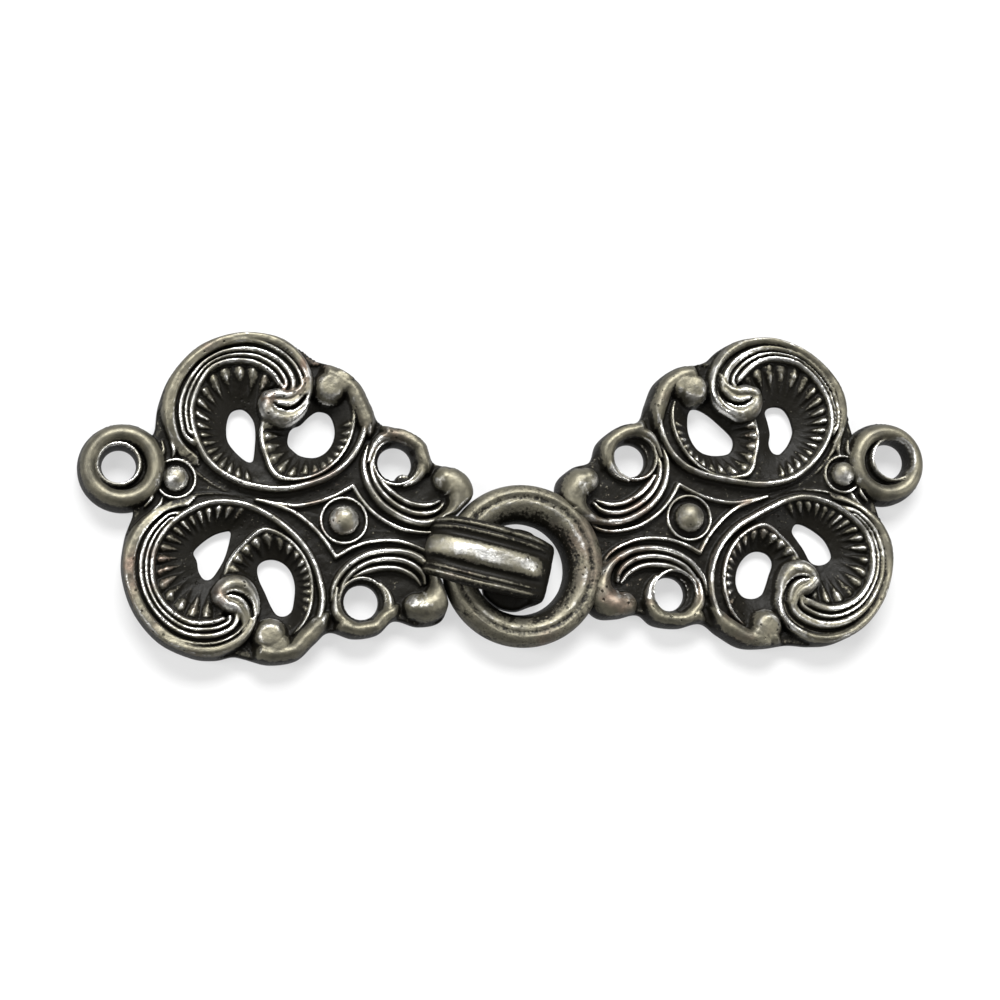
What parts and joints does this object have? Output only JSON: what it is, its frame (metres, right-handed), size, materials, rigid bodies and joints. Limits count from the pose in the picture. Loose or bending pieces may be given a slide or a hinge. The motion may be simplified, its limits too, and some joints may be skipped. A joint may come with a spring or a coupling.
{
  "type": "hook and eye clasp",
  "caption": "Fastened two-part cloak clasp: pierced scroll plates with sewing holes, one with a ribbed hook caught through the other's ring.",
  "frame": {"origin": "middle of the clasp's bounding box in plan, on the flat back that it lies on", "axes": "+X along the clasp from the hook half's loop to the eye half's loop, +Y across it on the side that the two halves' loops rise to, +Z out of the decorated face"},
  "size_m": [0.0658, 0.0248, 0.0044],
  "materials": {
    "antiqued_pewter": "antiqued pewter: worn bright crests, dark patina in the recesses"
  },
  "bodies": {
    "root": {"hook_half": "antiqued_pewter", "eye_half": "antiqued_pewter"}
  },
  "joints": []
}
